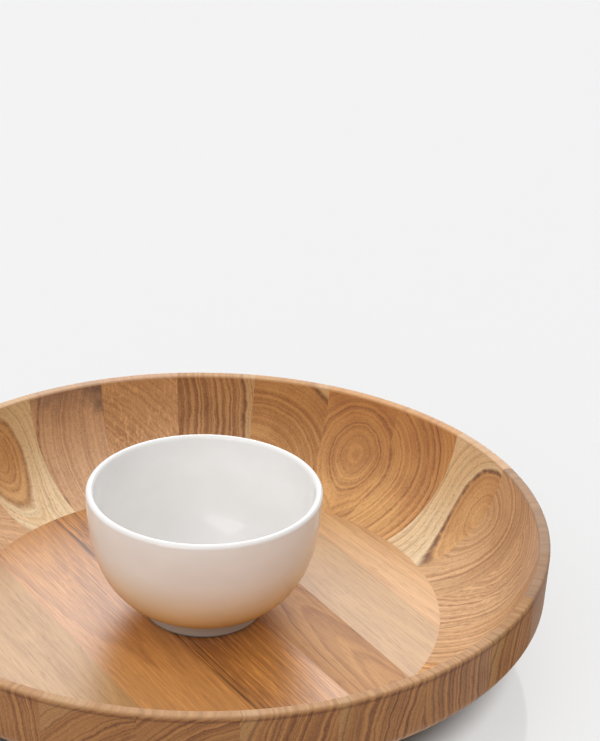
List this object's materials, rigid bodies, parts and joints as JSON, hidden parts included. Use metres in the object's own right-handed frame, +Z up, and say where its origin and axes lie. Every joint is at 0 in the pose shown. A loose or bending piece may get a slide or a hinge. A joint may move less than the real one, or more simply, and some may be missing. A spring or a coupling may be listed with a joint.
{
  "type": "chip and dip server",
  "caption": "Round staved wood serving tray with a coved inside and a loose footed ceramic dip bowl in the middle.",
  "frame": {"origin": "on the table, under the centre of the tray", "axes": "+Z up along the tray's axis, -Y towards the viewer, +X to the viewer's right"},
  "size_m": [0.356, 0.356, 0.0855],
  "materials": {
    "teak_golden": "oiled",
    "teak_brown": "oiled",
    "teak_pale": "oiled",
    "white_glaze": "gloss"
  },
  "bodies": {
    "tray": {"stave_01": "teak_golden", "stave_02": "teak_brown", "stave_03": "teak_pale", "stave_04": "teak_golden", "stave_05": "teak_brown", "stave_06": "teak_golden", "stave_07": "teak_pale", "stave_08": "teak_brown", "stave_09": "teak_golden", "stave_10": "teak_pale", "stave_11": "teak_golden", "stave_12": "teak_brown", "stave_13": "teak_golden", "stave_14": "teak_brown", "stave_15": "teak_pale", "stave_16": "teak_golden", "stave_17": "teak_brown", "stave_18": "teak_pale", "stave_19": "teak_pale", "stave_20": "teak_golden", "stave_21": "teak_golden", "stave_22": "teak_golden", "stave_23": "teak_golden", "stave_24": "teak_brown", "floor_board_1": "teak_pale", "floor_board_2": "teak_golden", "floor_board_3": "teak_brown", "floor_board_4": "teak_golden", "floor_board_5": "teak_pale", "floor_board_6": "teak_golden"},
    "bowl": {"dip_bowl": "white_glaze"}
  },
  "joints": [
    {"name": "bowl_lift", "type": "slide", "parent": "tray", "child": "bowl", "axis": [0, 0, 1], "range_m": [0, 0.08]}
  ]
}
